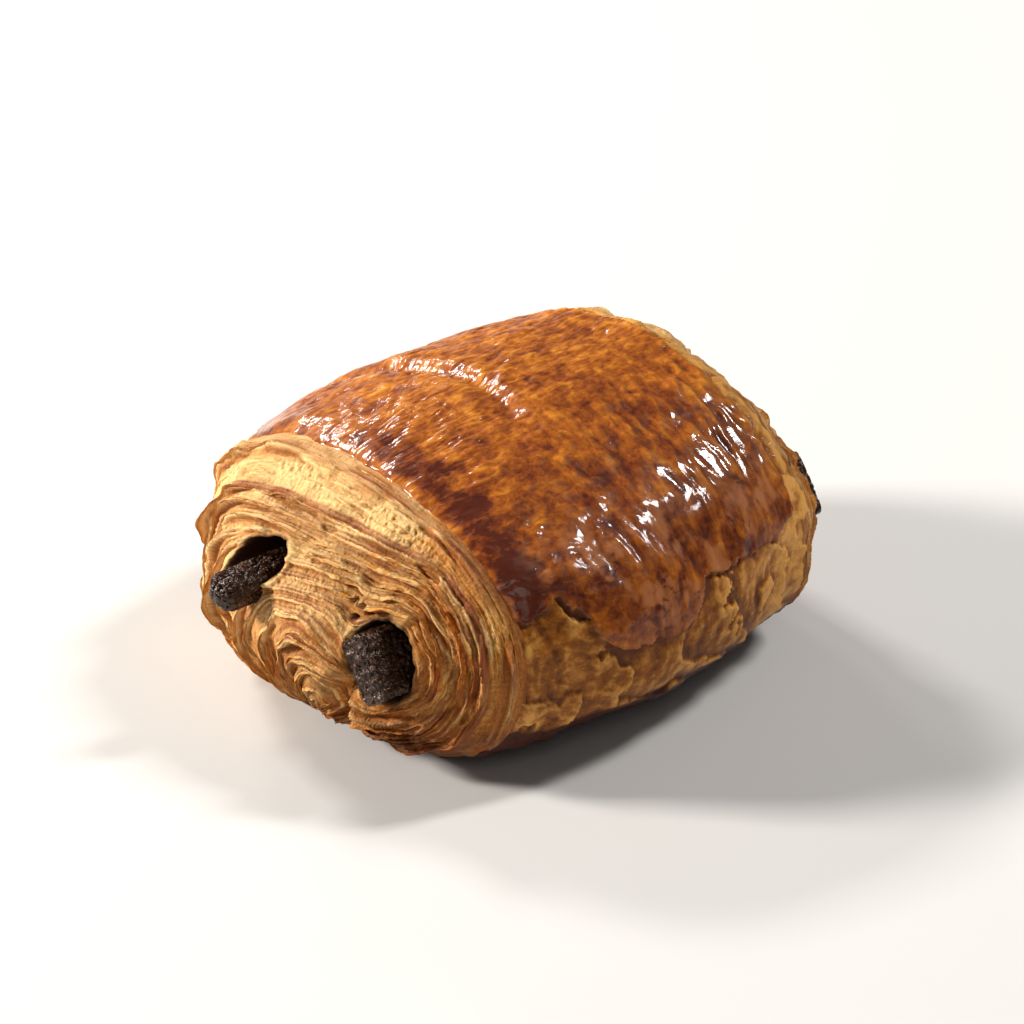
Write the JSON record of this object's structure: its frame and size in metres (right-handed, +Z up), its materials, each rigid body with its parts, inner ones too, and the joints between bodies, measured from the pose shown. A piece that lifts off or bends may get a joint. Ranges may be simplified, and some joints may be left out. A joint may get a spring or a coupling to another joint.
{
  "type": "pain au chocolat",
  "caption": "Baked laminated pastry rolled round chocolate batons, with a glazed crown, layered open ends and a flat base.",
  "frame": {"origin": "centre of the object's footprint, on the surface it stands on", "axes": "+X runs along the batons from the layered near end to the far end, +Y across the roll towards the side of the left baton, +Z up"},
  "size_m": [0.0974, 0.0834, 0.0485],
  "materials": {
    "crust": "baked laminated dough: glossy egg-wash glaze in mottled amber and mahogany on the crown, dry pale gold layers on the ends and sides",
    "chocolate": "dark baked chocolate, grainy and finely cracked with a slight sheen"
  },
  "bodies": {
    "root": {"pastry": "crust", "baton_left": "chocolate", "baton_right": "chocolate"}
  },
  "joints": []
}
